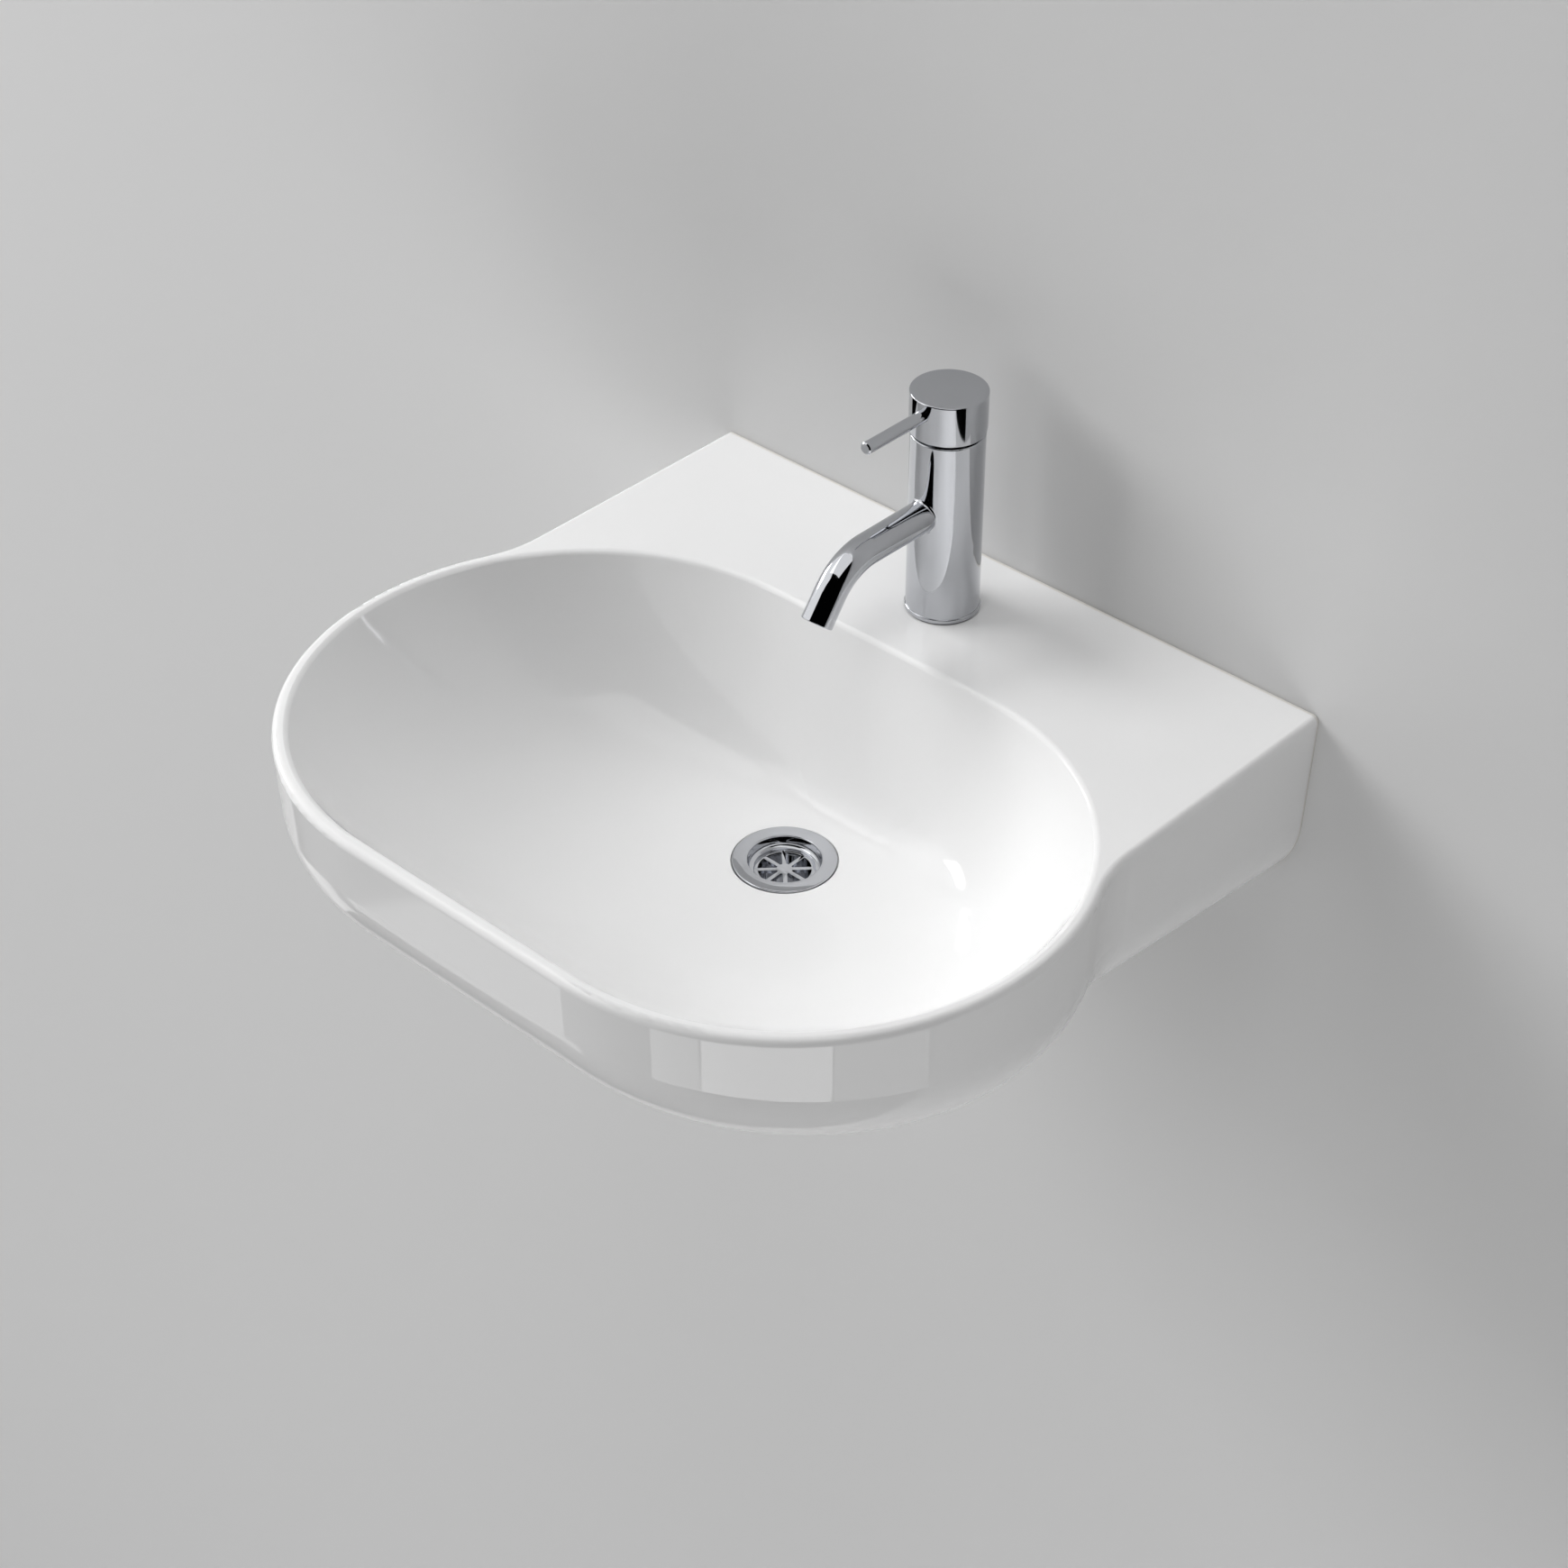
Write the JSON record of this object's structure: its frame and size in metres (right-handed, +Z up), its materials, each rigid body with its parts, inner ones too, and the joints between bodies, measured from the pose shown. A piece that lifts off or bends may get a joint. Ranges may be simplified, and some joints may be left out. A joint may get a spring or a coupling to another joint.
{
  "type": "wall-hung basin",
  "caption": "Wall-hung white china basin with a flat tap shelf, wide rounded bowl, chrome pin-lever mixer with bent spout, and grated waste; hangs on two wall studs.",
  "frame": {"origin": "in the wall plane, midway between the two wall studs", "axes": "+Y into the wall along the studs, +Z up, +X to the right for a person who faces the wall"},
  "size_m": [0.5296, 0.5298, 0.3542],
  "materials": {
    "china": "glossy white glaze",
    "chrome": "polished",
    "brass": "machined",
    "zinc_steel": "zinc plated",
    "rubber": "matt",
    "nylon": "satin",
    "cartridge_plastic": "satin",
    "disc_ceramic": "lapped"
  },
  "bodies": {
    "fixed": {"basin_body": "china", "wall_studs": "zinc_steel", "stud_sleeves": "nylon", "stud_washers": "zinc_steel", "stud_nuts": "zinc_steel", "waste_body": "chrome", "waste_grate": "chrome", "waste_upper_seal": "rubber", "waste_lower_seal": "rubber", "waste_slip_washer": "nylon", "waste_backnut": "brass", "mixer_body": "chrome", "base_ring": "chrome", "base_seal": "rubber", "mounting_stud": "zinc_steel", "horseshoe_seal": "rubber", "horseshoe_plate": "zinc_steel", "mounting_nut": "brass", "aerator_housing": "chrome", "aerator_insert": "nylon", "aerator_seal": "rubber", "cartridge_base": "cartridge_plastic", "port_seals": "rubber", "fixed_disc": "disc_ceramic", "cartridge_housing": "cartridge_plastic", "cartridge_nut": "brass", "shroud_ring": "chrome"},
    "rotor": {"cartridge_rotor": "cartridge_plastic", "pivot_pin": "zinc_steel"},
    "lever": {"spindle": "brass", "lever_cap": "chrome", "pin_lever": "chrome", "grub_screw": "zinc_steel"},
    "disc": {"moving_disc": "disc_ceramic", "disc_carrier": "cartridge_plastic"}
  },
  "joints": [
    {"name": "lever_turn", "type": "hinge", "parent": "fixed", "child": "rotor", "pos_m": [0, -0.0606, 0.187], "axis": [0, 0, 1], "range_deg": [-50, 50]},
    {"name": "lever_lift", "type": "hinge", "parent": "rotor", "child": "lever", "pos_m": [0, -0.0606, 0.187], "axis": [-1, 0, 0], "range_deg": [0, 18]},
    {"name": "disc_travel", "type": "slide", "parent": "rotor", "child": "disc", "axis": [0, -1, 0], "range_m": [0, 0.004]}
  ],
  "couplings": [
    {"joint": "disc_travel", "follows": "lever_lift", "m_per_rad": 0.0127}
  ]
}
